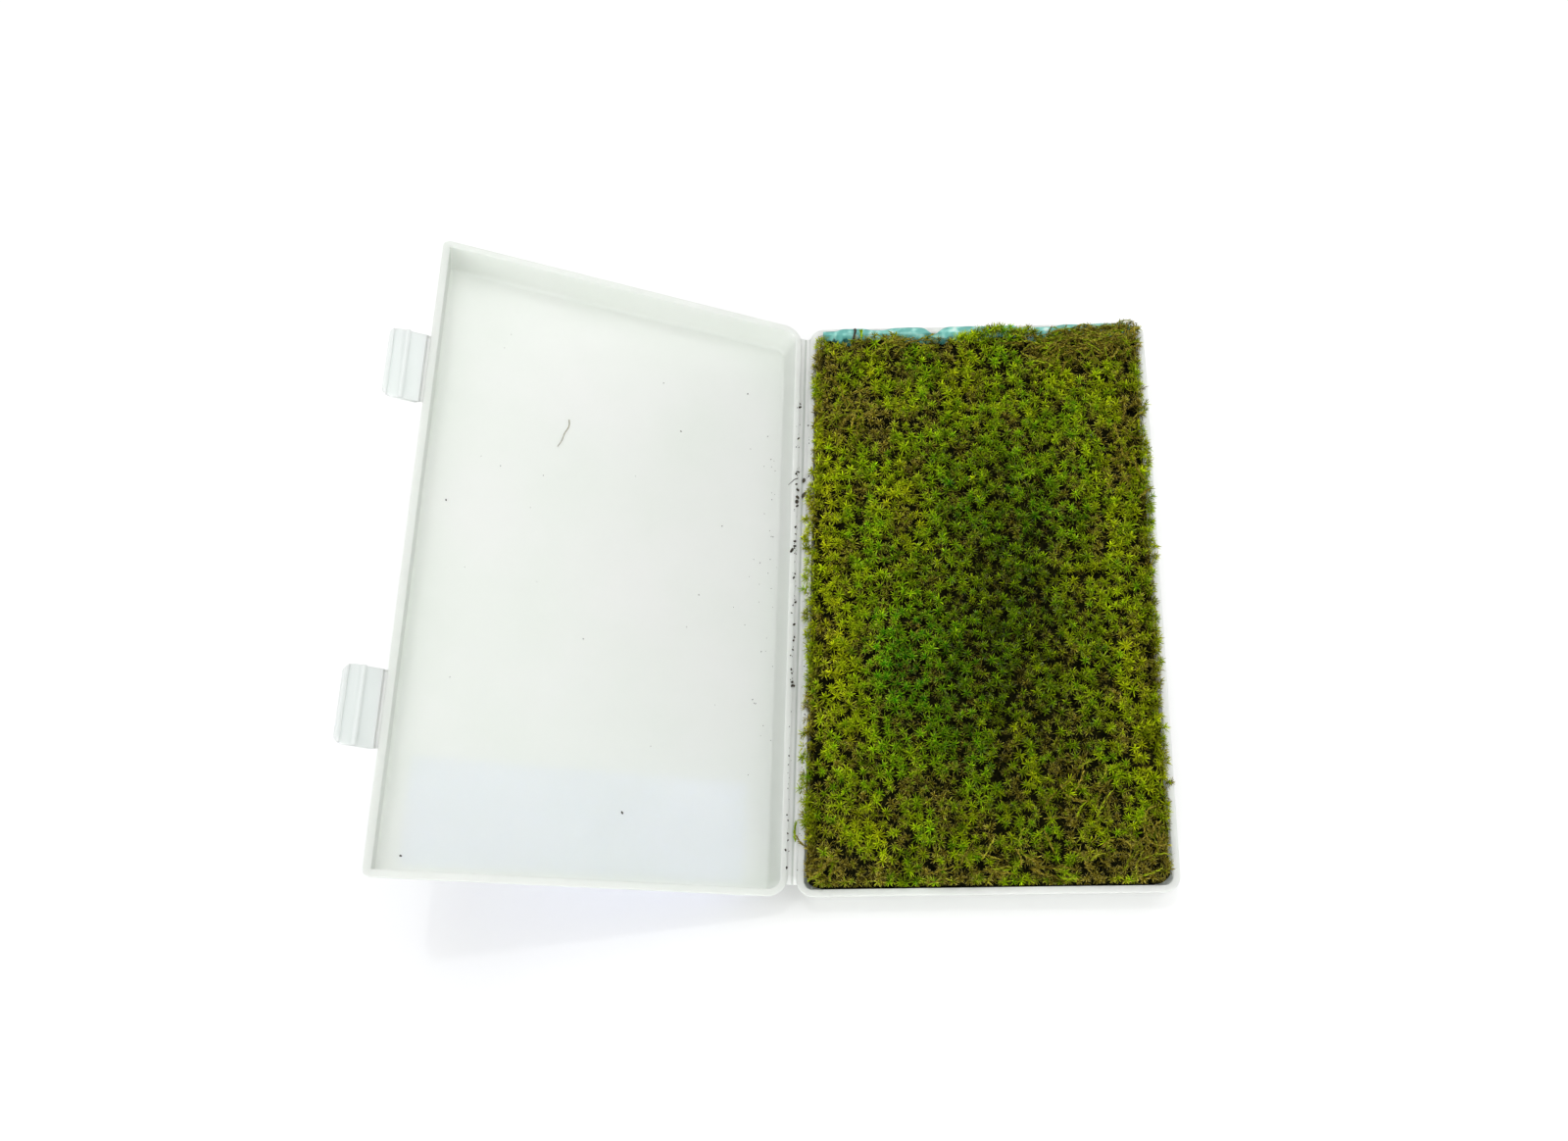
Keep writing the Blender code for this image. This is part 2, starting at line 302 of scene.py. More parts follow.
felt_y = np.arange(MAT_NEAR, MAT_FAR + FELT_STEP, FELT_STEP)
felt_x = np.linspace(-MAT_HALF, MAT_HALF, round(2 * MAT_HALF / FELT_STEP))
felt_y = np.concatenate([[felt_y[0], felt_y[0]], felt_y, [felt_y[-1], felt_y[-1]]])
felt_x = np.concatenate([[felt_x[0], felt_x[0]], felt_x, [felt_x[-1], felt_x[-1]]])
ground_y, ground_x = np.meshgrid(felt_y, felt_x, indexing="ij")
ground_z = mat_height(ground_x, ground_y) - FELT_BELOW_TIPS
ground_z += 0.45 * MM * drift(ground_x, ground_y, 2.2 * MM, 23)
ground_z += 0.4 * MM * drift(ground_x, ground_y, 4 * MM, 24)
# The outermost ring of corners goes straight down to the film.
foot_ring = np.zeros(ground_x.shape, bool)
foot_ring[[0, -1], :] = True
foot_ring[:, [0, -1]] = True
ground_z[foot_ring] = 1.9 * MM
corner_cut = 3.5 * MM
past_x = np.maximum(np.abs(ground_x) - (MAT_HALF - corner_cut), 0)
past_y = np.maximum(np.abs(ground_y) - (-MAT_NEAR - corner_cut), 0)
past = np.maximum(np.hypot(past_x, past_y) / corner_cut, 1)
ground_x = np.sign(ground_x) * (np.minimum(np.abs(ground_x), MAT_HALF - corner_cut) + past_x / past)
ground_y = np.sign(ground_y) * (np.minimum(np.abs(ground_y), -MAT_NEAR - corner_cut) + past_y / past)
# The tray's walls lean in towards its floor, and the felt with them.
draft = np.clip((rim_z - ground_z) / rim_z, 0, 1)
ground_x *= 1 - 0.022 * draft
ground_y *= 1 - 0.010 * draft
moss_felt, felt_shader = new_finish("dead_moss_felt_with_painted_shade", roughness=0.9)
# The felt's brown is taken nearly to black: painted shade for the deep shadow between the shoots.
felt_shade_colour = ramp(moss_felt, noise_on(moss_felt, 1.1 * MM, 5), ((0.32, "#060902"), (0.72, "#201f08")))
moss_felt.node_tree.links.new(felt_shade_colour, felt_shader.inputs["Base Color"])
felt_shader.inputs["Specular IOR Level"].default_value = 0.05
felt_corners = np.stack([ground_x, ground_y, ground_z], -1).reshape(-1, 3)
felt = mesh_piece("moss_felt", felt_corners, lattice(*ground_x.shape), moss_felt)
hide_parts("moss_clump")
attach(felt, "tray")

# ---- Moss shoots -----------------------------------------------------------------------------
# The mat is one sort of star moss: short upright shoots, each with narrow keeled leaves set round it
# at the golden angle, bent back at the foot of the star and closing to a bud at its tip. Older and
# drier shoots are brown and twisted, and the outer rows lean out over the long rims.
SHOOT_SPACING = 2.65 * MM
LEAVES = 20
OLD_LEAVES = 11
OLD_DROP = 1.9 * MM
LEAF_LENGTH = 2.05 * MM
LEAF_WIDTH = 0.28 * MM
GOLDEN_ANGLE = radians(137.5)
GAPS = 0.05
# The mat is made in five bands across it. Past FAR_ROW there are two more, from each of FAR_SIDES on.
BANDS = 5
FAR_ROW = 80 * MM
FAR_SIDES = (-7 * MM, 42 * MM)
# Where the mat has dried or aged to brown, as (centre, radii, strength) in millimetres.
BROWN_PATCHES = (
    ((40, 84), (20, 8), 0.95),
    ((-22, 85), (14, 5), 0.6),
    ((-46, 80), (8, 7), 0.55),
    ((-38, 58), (16, 9), 0.7),
    ((-28, -63), (20, 9), 0.3),
    ((-13, -63), (7, 5), 0.35),
    ((0, -85), (60, 7), 0.5),
    ((-47, -83), (10, 9), 0.5),
    ((45, -82), (13, 10), 0.6),
    ((47, 52), (9, 12), 0.35),
    ((-49, -42), (5, 16), 0.45),
    ((50, -20), (5, 20), 0.3),
    ((22, -48), (14, 16), 0.35),
    ((28, -66), (12, 8), 0.35),
)


def shoot_sites(spacing, seed):
    """Places for shoots: a loose triangular pattern inside the mat's outline."""
    dice = np.random.default_rng(seed)
    rows = np.arange(MAT_NEAR, MAT_FAR, spacing * 0.866)
    x, y = np.meshgrid(np.arange(-MAT_HALF, MAT_HALF, spacing), rows)
    x = x + (np.arange(len(rows)) % 2)[:, None] * spacing / 2 + dice.uniform(-0.4, 0.4, x.shape) * spacing
    y = y + dice.uniform(-0.4, 0.4, y.shape) * spacing
    x, y = x.ravel(), y.ravel()
    far = MAT_FAR + 1.2 * MM * drift(x, 0 * x, 10 * MM, 31)
    corner = np.hypot(np.maximum(np.abs(x) - 47.5 * MM, 0), np.maximum(np.abs(y) - 85 * MM, 0))
    keep = (np.abs(x) < MAT_HALF - 1.6 * MM) & (y > MAT_NEAR + 1.6 * MM) & (y < far) & (corner < 3.2 * MM)
    x, y = x[keep], y[keep]
    # The outermost row follows the tray's walls.
    long_row = np.arange(MAT_NEAR + 2.5 * MM, MAT_FAR - 1 * MM, spacing * 0.42)
    long_row = long_row + dice.uniform(-0.3, 0.3, long_row.size) * spacing
    short_row = np.arange(-MAT_HALF + 3 * MM, MAT_HALF - 2.5 * MM, spacing * 0.8)
    short_row = short_row + dice.uniform(-0.3, 0.3, short_row.size) * spacing
    in_long = MAT_HALF - dice.uniform(0.1, 2, long_row.size) * MM
    in_short = dice.uniform(0.1, 1, short_row.size) * MM
    far_row = np.arange(-6 * MM, MAT_HALF - 1 * MM, spacing * 0.3)
    in_far = MAT_FAR - dice.uniform(0, 1.8, far_row.size) * MM
    x = np.concatenate([x, -in_long, in_long[::-1], short_row, far_row])
    y = np.concatenate([y, long_row, long_row, MAT_NEAR + in_short, in_far])
    return x, y


def unit(vectors):
    """Vectors scaled to a length of 1."""
    return vectors / np.linalg.norm(vectors, axis=-1, keepdims=True)


def blades(root, axis, turn, length, width, lift, bend, sway, keel, stations):
    """Narrow blades set on stems. lift is each blade's angle from the stem and bend how far it bends
    back by its tip. sway swings the tip sideways and keel folds it along its middle."""
    side = unit(np.cross(axis, np.broadcast_to((0.3, 0.9, 0.1), axis.shape)))
    other = np.cross(axis, side)
    outward = np.cos(turn)[:, None] * side + np.sin(turn)[:, None] * other
    across = np.cross(axis, outward)
    spot = root
    rows = []
    shares, widths = stations
    ribs = (-1, 0, 1) if keel else (-1, 1)
    for k, (share, wide) in enumerate(zip(shares, widths)):
        if k:
            step = share - shares[k - 1]
            angle = lift + bend * (share - step / 2)
            swing = sway * (share - step / 2) * 2
            ahead = np.sin(angle)[:, None] * outward + np.cos(angle)[:, None] * axis
            spot = spot + step * length[:, None] * unit(ahead + swing[:, None] * across)
        angle = lift + bend * share
        face = np.sin(angle)[:, None] * axis - np.cos(angle)[:, None] * outward
        if wide == 0:
            rows.append(spot[:, None])
            continue
        half = 0.5 * wide * width
        for rib in ribs:
            rise = keel * abs(rib) * half
            rows.append((spot + rib * half[:, None] * across + rise[:, None] * face)[:, None])
    corners = np.concatenate(rows, 1)
    wide_rows = sum(w > 0 for w in widths)
    n = len(ribs)
    faces = []
    for k in range(wide_rows - 1):
        for r in range(n - 1):
            a = k * n + r
            faces += [(a, a + 1, a + n + 1), (a, a + n + 1, a + n)]
    last = (wide_rows - 1) * n
    faces += [(last + r, last + r + 1, wide_rows * n) for r in range(n - 1)]
    offsets = np.arange(len(root))[:, None, None] * corners.shape[1]
    triangles = (np.array(faces)[None] + offsets).reshape(-1, 3)
    share_of = np.concatenate([np.repeat(shares[:wide_rows], n), [1]])
    return corners, triangles, np.broadcast_to(share_of, corners.shape[:2])


def overhang(x, y):
    """How far out over the tray's rim the outer rows are moved, in x and in y."""
    left = 1.9 + 1.0 * drift(0 * y, y, 12 * MM, 35)
    left = left * (1 - patch(x, y, (-51, 55), (9, 13))) * soft_step(y, -80 * MM, -68 * MM)
    right = (1.5 + 0.5 * drift(0 * y, y, 9 * MM, 36)) * soft_step(y, -76 * MM, -64 * MM)
    side = soft_step(np.abs(x), 45 * MM, 51 * MM) ** 2
    out_x = np.where(x < 0, -left, right) * side * MM
    far = soft_step(x, -7 * MM, 3 * MM) * (1.4 + 0.4 * drift(x, 0 * x, 6 * MM, 37))
    return out_x, far * soft_step(y, 82 * MM, 88 * MM) * MM


def settle(corners):
    """Leaves that reach the rim lie on it, and the ones below stay inside the wall."""
    x, y, z = corners[..., 0], corners[..., 1], corners[..., 2]
    deep = z < rim_z - 0.5 * MM
    x[:] = np.where(deep, np.clip(x, -inner_x + 0.25 * MM, inner_x - 0.25 * MM), x)
    y[:] = np.where(deep, np.clip(y, -inner_y + 0.25 * MM, inner_y - 0.7 * MM), y)
    over = (np.abs(x) > inner_x - 0.2 * MM) | (np.abs(y) > inner_y - 0.5 * MM)
    z[:] = np.where(over, np.maximum(z, rim_z + 0.15 * MM), z)
    # The near end and the left half of the far end stay inside the walls, as they do when it is shut.
    y[:] = np.clip(y, -inner_y + 0.3 * MM, np.where(x < FAR_SIDES[0], inner_y - 0.2 * MM, 1))


def shoot_data(x, y, seed):
    """For each shoot: its lean, and how brown, wet, yellow and light it is."""
    dice = np.random.default_rng(seed)
    edge = soft_step(np.abs(x), 45 * MM, 51 * MM) * (1 - 0.9 * patch(x, y, (-50, 56), (9, 14)))
    lean_x = np.sign(x) * 0.75 * edge + dice.normal(0, 0.2, x.size)
    lean_y = dice.normal(0, 0.2, x.size)
    lean_y = lean_y - 0.5 * soft_step(-y, 84 * MM, 88 * MM)
    brown = sum(s * patch(x, y, centre, radii) for centre, radii, s in BROWN_PATCHES)
    brown = brown + 0.16 + 0.22 * drift(x, y, 6 * MM, 32) + dice.normal(0, 0.16, x.size)
    wet = wetness(x, y)
    tint = 0.52 + 0.12 * soft_step(np.abs(x), 28 * MM, 46 * MM) + 0.09 * drift(x, y, 12 * MM, 33)
    tint = tint - 0.5 * patch(x, y, (-18, -27), (17, 25)) - 0.3 * patch(x, y, (12, 30), (16, 16))
    tint = tint + 0.12 * patch(x, y, (-53, -10), (8, 60)) + dice.normal(0, 0.1, x.size)
    light = 0.84 + dice.normal(0, 0.13 + 0.08 * wet, x.size) + 0.08 * drift(x, y, 5 * MM, 34)
    light = light + 0.16 * patch(x, y, (-53, -10), (7, 60)) + 0.1 * patch(x, y, (0, -86), (60, 8))
    axis = unit(np.stack([lean_x, lean_y, np.ones(x.size)], -1))
    return axis, np.clip(brown, 0, 1), np.clip(wet, 0, 1), np.clip(tint, 0, 1), np.clip(light, 0.3, 1.2)


def leaf_fields(along_leaf, age, wet, tint, light, gloss):
    """The fields at each corner of each leaf, from one value a leaf."""
    each = dict(age=age, wet=wet, tint=tint, light=light, gloss=gloss)
    spread = {key: np.broadcast_to(value[:, None], along_leaf.shape) for key, value in each.items()}
    return dict(spread, along=along_leaf)


def grow(x, y, leaves, drop, keel, stations, seed, ageing=0):
    """The leaves of all shoots at these places, drop below the mat's top, with their fields."""
    dice = np.random.default_rng(seed)
    kept = dice.random(x.size) > GAPS + 0.1 * wetness(x, y)
    x, y = x[kept], y[kept]
    axis, brown, wet, tint, light = shoot_data(x, y, seed)
    brown = np.clip(brown + ageing, 0, 1)
    size = dice.normal(1, 0.13, x.size).clip(0.65, 1.35) * (1 - 0.1 * brown) * (1 - 0.1 * wet)
    drop = drop * (1 - 0.75 * soft_step(np.abs(x), 48 * MM, 50.5 * MM))
    top = mat_height(x, y) + dice.normal(0, 0.7, x.size).clip(-1.8, 1.1) * MM - drop
    out_x, out_y = overhang(x, y)
    tip = np.stack([x + out_x, y + out_y, top], -1)
    rank = np.tile(np.arange(leaves) / (leaves - 1), x.size)
    of = np.repeat(np.arange(x.size), leaves)
    dry = brown[of]
    turn = np.tile(np.arange(leaves), x.size) * GOLDEN_ANGLE + np.repeat(dice.uniform(0, tau, x.size), leaves)
    turn = turn + dice.normal(0, 0.14, turn.size)
    stem = 1.6 * MM * size[of]
    root = tip[of] - (0.9 * MM + stem * (1 - rank) ** 1.2)[:, None] * axis[of]
    reach_of = LEAF_LENGTH * size[of] * (1 - 0.5 * rank**5) * dice.normal(1, 0.1, turn.size).clip(0.7, 1.3)
    lift = (1.38 - 1.0 * rank**3) * (1 - 0.25 * dry) + dice.normal(0, 0.12, turn.size)
    bend = (0.42 - 0.25 * rank) * dice.normal(1, 0.3, turn.size) + 0.3 * dry * dice.normal(0, 1, turn.size)
    sway = dice.normal(0, 0.12, turn.size) + dry * dice.normal(0, 0.45, turn.size)
    wide = LEAF_WIDTH * size[of] * (1 - 0.2 * dry) * dice.normal(1, 0.12, turn.size).clip(0.6, 1.4)
    corners, triangles, share = blades(root, axis[of], turn, reach_of, wide, lift, bend, sway, keel, stations)
    settle(corners)
    old_leaf = np.clip(dry + dice.normal(0, 0.1, dry.size) + 0.25 * (0.35 - rank), 0, 1)
    film_of_water = (dice.random(dry.size) < 0.03 + 0.22 * wet[of]) * 1.0
    # Lower leaves are darker: painted shade under the upper leaves, with some of their older colour.
    glow = light[of] * (0.42 + 0.8 * rank) * dice.normal(1, 0.27, turn.size).clip(0.4, 1.9)
    # A few leaves on the soaked mat are made nearly twice as light: painted highlights for glints on wet
    # leaves.
    glow = glow * np.where(dice.random(turn.size) < 0.08 * wet[of], 1.9, 1)
    spread = leaf_fields(share, old_leaf, wet[of], tint[of], glow, film_of_water)
    # Each leaf darkens towards its foot: painted shade.
    spread["light"] = spread["light"] * (0.6 + 0.55 * share)
    return corners, triangles, spread


def feed(material, socket, value):
    """Sets a socket to a value, or wires it to an output."""
    if isinstance(value, bpy.types.NodeSocket):
        material.node_tree.links.new(value, socket)
    else:
        socket.default_value = value


def blend_colours(material, factor, first, second, kind="MIX"):
    """The second colour over the first, by a factor. Each is a value or an output."""
    made = add_node(material, "ShaderNodeMix", data_type="RGBA", blend_type=kind)
    for index, value in ((0, factor), (6, first), (7, second)):
        feed(material, made.inputs[index], value)
    return made.outputs[2]


def multiply(material, first, second):
    """The product of two values or outputs."""
    made = add_node(material, "ShaderNodeMath", operation="MULTIPLY")
    feed(material, made.inputs[0], first)
    feed(material, made.inputs[1], second)
    return made.outputs[0]


# Living leaves are yellow-green, and yellower and lighter at their tips, partly by painted shade that darkens
# each leaf towards its foot and the lower leaves of each shoot. Dried ones are straw brown, and soaked ones
# darker, with a shiny film of water on some.
living_moss, leaf_shader = new_finish("living_moss_leaves", roughness=0.5, ior=1.42)
field = {}
for field_name in ("along", "age", "wet", "tint", "light", "gloss"):
    field[field_name] = add_node(living_moss, "ShaderNodeAttribute", attribute_name=field_name).outputs["Fac"]
green_stops = ((0, "#3f9400"), (0.35, "#78ae00"), (0.65, "#9fba00"), (1, "#c0c60a"))
green = ramp(living_moss, field["tint"], green_stops)
tip_glow = multiply(living_moss, field["along"], field["along"])
green = blend_colours(living_moss, multiply(living_moss, tip_glow, 0.4), green, linear("#e0d838"))
brown = ramp(living_moss, field["along"], ((0, "#5a4e0c"), (0.6, "#9d902a"), (1, "#cabd6c")))
aged = ramp(living_moss, field["age"], ((0.25, "#000000"), (0.75, "#ffffff")))
leaf_colour = blend_colours(living_moss, aged, green, brown)
# The light field brings in tone that differs at random, painted shade and a few painted highlights.
leaf_colour = blend_colours(living_moss, 1.0, leaf_colour, field["light"], "MULTIPLY")
soaked = blend_colours(living_moss, 1.0, leaf_colour, linear("#a8ae90"), "MULTIPLY")
leaf_colour = blend_colours(living_moss, field["wet"], leaf_colour, soaked)
living_moss.node_tree.links.new(leaf_colour, leaf_shader.inputs["Base Color"])
dry_and_wet = {"To Min": 0.55, "To Max": 0.28}
shine = add_node(living_moss, "ShaderNodeMapRange", dry_and_wet, {"Value": field["wet"]})
living_moss.node_tree.links.new(shine.outputs["Result"], leaf_shader.inputs["Roughness"])
leaf_shader.inputs["Specular IOR Level"].default_value = 0.04
living_moss.node_tree.links.new(field["gloss"], leaf_shader.inputs["Coat Weight"])
leaf_shader.inputs["Coat Roughness"].default_value = 0.12
leaf_shader.inputs["Coat IOR"].default_value = 1.33

# Each kind of leaf as shares of its length and its width at each.
KEELED = ((0, 0.42, 0.8, 1), (0.7, 1, 0.62, 0))
FLAT = ((0, 0.55, 1), (0.8, 1, 0))
main_x, main_y = shoot_sites(SHOOT_SPACING, 51)
old_x, old_y = shoot_sites(SHOOT_SPACING * 1.08, 52)


def moss_zones(x, y):
    """Which piece of the mat each place belongs to: a band across it, or one of the far end's two."""
    zone = np.clip((y - MAT_NEAR) / (FAR_ROW - MAT_NEAR) * BANDS, 0, BANDS - 0.01).astype(int)
    zone = np.where((y > FAR_ROW) & (x > FAR_SIDES[0]), BANDS, zone)
    return np.where((y > FAR_ROW) & (x > FAR_SIDES[1]), BANDS + 1, zone)


# For each piece of the mat, as (axis, anchor in mm, keep); nothing below reads them.
tucks = [((1, 0, 0), (0, 0, 0), 0.93)] * BANDS
tucks += [((0, 1, 0), (0, 50, 0), 0.91), ((1, 1, 0), (20, 58, 0), 0.9)]
main_zone, old_zone = moss_zones(main_x, main_y), moss_zones(old_x, old_y)
for zone, (tuck_axis, anchor, keep) in enumerate(tucks):
    here = main_zone == zone
    below = old_zone == zone
    growths = (
        grow(main_x[here], main_y[here], LEAVES, 0, 0.5, KEELED, 60 + zone),
        grow(old_x[below], old_y[below], OLD_LEAVES, OLD_DROP, 0, FLAT, 80 + zone, ageing=0.45),
    )
    corners = np.concatenate([g[0].reshape(-1, 3) for g in growths])
    shift = growths[0][0].shape[0] * growths[0][0].shape[1]
    triangles = np.concatenate([growths[0][1], growths[1][1] + shift])
    fields = {key: np.concatenate([g[2][key].ravel() for g in growths]) for key in growths[0][2]}
    tuft = mesh_piece(f"moss_shoots_{zone + 1}", corners, triangles, living_moss, fields)
    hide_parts("moss_clump")
    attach(tuft, "tray")
    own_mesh(tuft)

# ---- Flattened strands -----------------------------------------------------------------------
# Where the mat was handled, longer dead shoots lie flat on it in curls: at the far right corner, along
# the near end and in a few other places. They are the same moss, dry and olive brown.
STRAND_LEAVES = 26
# Each place is (centre, spread, count, heading) in millimetres and radians.
STRAND_PLACES = (
    ((36, 86), (12, 4), 130, 0.0),
    ((45, 86), (6, 5), 50, 0.8),
    ((28, 82), (9, 4), 40, 0.2),
    ((-26, 84.5), (10, 3), 34, 0.3),
    ((45, -80), (5, 7), 34, 1.6),
    ((8, -84), (30, 3), 40, 0.1),
    ((-46, -84), (4, 3), 12, 0.7),
    ((-42, 60), (7, 6), 26, 0.8),
    ((46, 40), (4, 14), 20, 1.5),
    ((28, -62), (7, 6), 14, 0.6),
)
# Where along a shoot its leaves turn green: past its tip, or before its foot.
ALL_DEAD = 2
ALL_GREEN = -1
strand_dice = np.random.default_rng(71)
strands = []
for centre, spread, count, heading in STRAND_PLACES:
    begin = strand_dice.normal(0, 0.7, (count, 2)) * spread + centre
    way_heading = heading + strand_dice.normal(0, 0.6, count) + pi * (strand_dice.random(count) > 0.5)
    curl = strand_dice.normal(0, 0.16, count)
    reach_mm = strand_dice.uniform(4, 9, count)
    strands.append(np.column_stack([begin, way_heading, curl, reach_mm]))
strands = np.concatenate(strands)
end_turn = strands[:, 2] + strands[:, 3] * strands[:, 4] / 2
end_x = strands[:, 0] + strands[:, 4] * np.cos(end_turn)
end_y = strands[:, 1] + strands[:, 4] * np.sin(end_turn)
on_mat = (np.maximum(np.abs(strands[:, 0]), np.abs(end_x)) < 52) & (np.minimum(strands[:, 1], end_y) > -88)
far_limit = np.where(strands[:, 0] > 0, 90, 88)
strands = strands[on_mat & (np.maximum(strands[:, 1], end_y) < far_limit)]


def creeping_shoots(strands, leaves, seed, height, green_from=ALL_DEAD, lightness=0.76):
    """Leafy shoots lying along curves. Each is x, y, heading, curl a millimetre and length. They are
    dead up to green_from, as a share of their length, and as light as lightness says."""
    dice = np.random.default_rng(seed)
    share = np.tile(np.arange(leaves) / (leaves - 1), len(strands))
    of = np.repeat(np.arange(len(strands)), leaves)
    gone = share * strands[of, 4]
    turned = strands[of, 2] + strands[of, 3] * gone / 2
    x = (strands[of, 0] + gone * np.cos(turned)) * MM
    y = np.clip(strands[of, 1] + gone * np.sin(turned), -88.2, 90) * MM
    facing = strands[of, 2] + strands[of, 3] * gone
    z = height(x, y) + dice.normal(0, 0.12, x.size) * MM - 0.5 * MM * (2 * share - 1) ** 4
    root = np.stack([x, y, z], -1)
    axis = unit(np.stack([np.cos(facing), np.sin(facing), 0.1 + 0 * x], -1))
    turn = dice.uniform(0, tau, x.size)
    length = dice.normal(1.5, 0.2, x.size).clip(0.8, 2.2) * MM * (1 - 0.3 * share)
    lift = dice.normal(0.3, 0.12, x.size)
    sway = dice.normal(0, 0.22, x.size)
    wide = np.full(x.size, 0.3 * MM)
    corners, triangles, part = blades(root, axis, turn, length, wide, lift, 0.25 + 0 * lift, sway, 0, FLAT)
    settle(corners)
    fresh = soft_step(share, green_from, green_from + 0.2)
    each_age = dice.uniform(0.35, 1.1, len(strands))[of]
    each_light = dice.normal(lightness, 0.22, len(strands)).clip(0.4, 1.3)[of]
    dead = (1 - fresh) * (each_age + dice.normal(0, 0.05, x.size))
    glow = each_light * dice.normal(1, 0.15, x.size).clip(0.5, 1.5)
    spread = leaf_fields(part, dead, 0 * x, 0 * x + 0.5, glow, 0 * x)
    return corners, triangles, spread


at_corner = (strands[:, 0] > 5) & (strands[:, 1] > 70)
for name, chosen, lightness, (tuck_axis, anchor, keep) in (
    ("moss_strands", strands[~at_corner], 0.8, tucks[0]),
    ("moss_strands_far_corner", strands[at_corner], 0.68, tucks[-1]),
):
    corners, triangles, fields = creeping_shoots(
        chosen, STRAND_LEAVES, 72, lambda x, y: mat_height(x, y) + 0.5 * MM, lightness=lightness
    )
    strand_mat = mesh_piece(name, corners.reshape(-1, 3), triangles, living_moss, fields)
    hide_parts("moss_clump")
    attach(strand_mat, "tray")
    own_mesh(strand_mat)

# ---- Hinge web -------------------------------------------------------------------------------
# Tray and lid are one moulding, joined along their long rims by a web thin enough to fold for years.
# It is a single strip of the same plastic, thinner on its fold line and greyed there with painted shade of
# the gap below it.
FOLD = Vector((-54.75, 0, 12.65)) * MM
OPEN_LEAN = radians(26)
WEB_HALF_LENGTH = 87.6 * MM
lid_out = Vector((-cos(OPEN_LEAN), 0, sin(OPEN_LEAN)))
lid_up = Vector((-sin(OPEN_LEAN), 0, -cos(OPEN_LEAN)))


def on_lid(out, up, y=0.0):
    """A place on the open lid: out from the fold line along the lid and up towards its panel."""
    return FOLD + out * lid_out + up * lid_up + Vector((0, y, 0))


def folding_strip(name, way, thicknesses, near, far, material, steps=60):
    """A strip of plastic along y that bends round its way's middle point. thicknesses are at its edges
    and at its fold, where the field named fold is 1."""
    count = 13
    shares = [i / (count - 1) for i in range(count)]
    curve = [(1 - t) ** 2 * way[0] + 2 * t * (1 - t) * way[1] + t**2 * way[2] for t in shares]
    ring = []
    fold_shade_band = []
    for side in (1, -1):
        for i in range(count)[::side]:
            ahead = (curve[min(i + 1, count - 1)] - curve[max(i - 1, 0)]).normalized()
            up = Vector((-ahead.z, 0, ahead.x))
            t = shares[i]
            thick = thicknesses[0] + (thicknesses[1] - thicknesses[0]) * (1 - (2 * t - 1) ** 2) ** 3
            ring.append(curve[i] + side * thick / 2 * up)
            # The band along the fold, where the hinge's finish paints shade.
            fold_shade_band.append(max(0, 1 - abs(2 * t - 1.05) / 0.35))
    bm = bmesh.new()
    rows = []
    for j in range(steps + 1):
        y = near + (far - near) * j / steps
        rows.append([bm.verts.new((p.x, y, p.z)) for p in ring])
    size = len(ring)
    for first, second in zip(rows, rows[1:]):
        for k in range(size):
            bm.faces.new((first[k], first[(k + 1) % size], second[(k + 1) % size], second[k]))
    bm.faces.new(rows[0])
    bm.faces.new(rows[-1][::-1])
    bmesh.ops.recalc_face_normals(bm, faces=bm.faces[:])
    mesh = bpy.data.meshes.new(name)
    bm.to_mesh(mesh)
    bm.free()
    mesh.attributes.new("fold", "FLOAT", "POINT").data.foreach_set("value", fold_shade_band * (steps + 1))
    mesh.shade_smooth()
    return add_object(name, mesh, material)


web_way = (Vector((-53.2, 0, 12.25)) * MM, Vector((-54.75, 0, 11.5)) * MM, on_lid(1.5 * MM, 0.4 * MM))
fold_shaded_web = frosted_polypropylene("hinge_polypropylene_with_painted_fold_shade", ("#e8eee6", "#f0f4ee"), 0.9)
web_shader = fold_shaded_web.node_tree.nodes["Principled BSDF"]
clean_web = web_shader.inputs["Base Color"].links[0].from_socket
fold_shade_mask = add_node(fold_shaded_web, "ShaderNodeAttribute", attribute_name="fold").outputs["Fac"]
# Grey along the fold line: painted shade of the gap under the fold.
fold_shaded_colour = blend_colours(fold_shaded_web, fold_shade_mask, clean_web, linear("#8d958c"))
fold_shaded_web.node_tree.links.new(fold_shaded_colour, web_shader.inputs["Base Color"])
web = folding_strip(
    "hinge_web", web_way, (0.4 * MM, 0.26 * MM), -WEB_HALF_LENGTH, WEB_HALF_LENGTH, fold_shaded_web
)
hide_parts("hinge_web_tray_side", "hinge_web_lid_side")
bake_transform(web)

# ---- Case lid --------------------------------------------------------------------------------
# The lid is the same plastic as the tray and came out of the mould joined to it.
dress(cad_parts["case_lid"], case_plastic)

# ---- Label -----------------------------------------------------------------------------------
# A plain white paper address label stuck to the outside of the lid. It shows through the plastic as
# a whiter, slightly blue panel.
LABEL_OUT = (11.4 * MM, 100.4 * MM)
LABEL_Y = (-86.2 * MM, -57.6 * MM)
LABEL_UP = 11.2 * MM
label_paper, label_shader = new_finish("uncoated_white_label_paper", roughness=0.75, transmission_weight=0.45)
pulp = noise_on(label_paper, 3 * MM, 6)
paper_colour = ramp(label_paper, pulp, ((0.3, "#eef4ff"), (0.7, "#f6faff")))
label_paper.node_tree.links.new(paper_colour, label_shader.inputs["Base Color"])
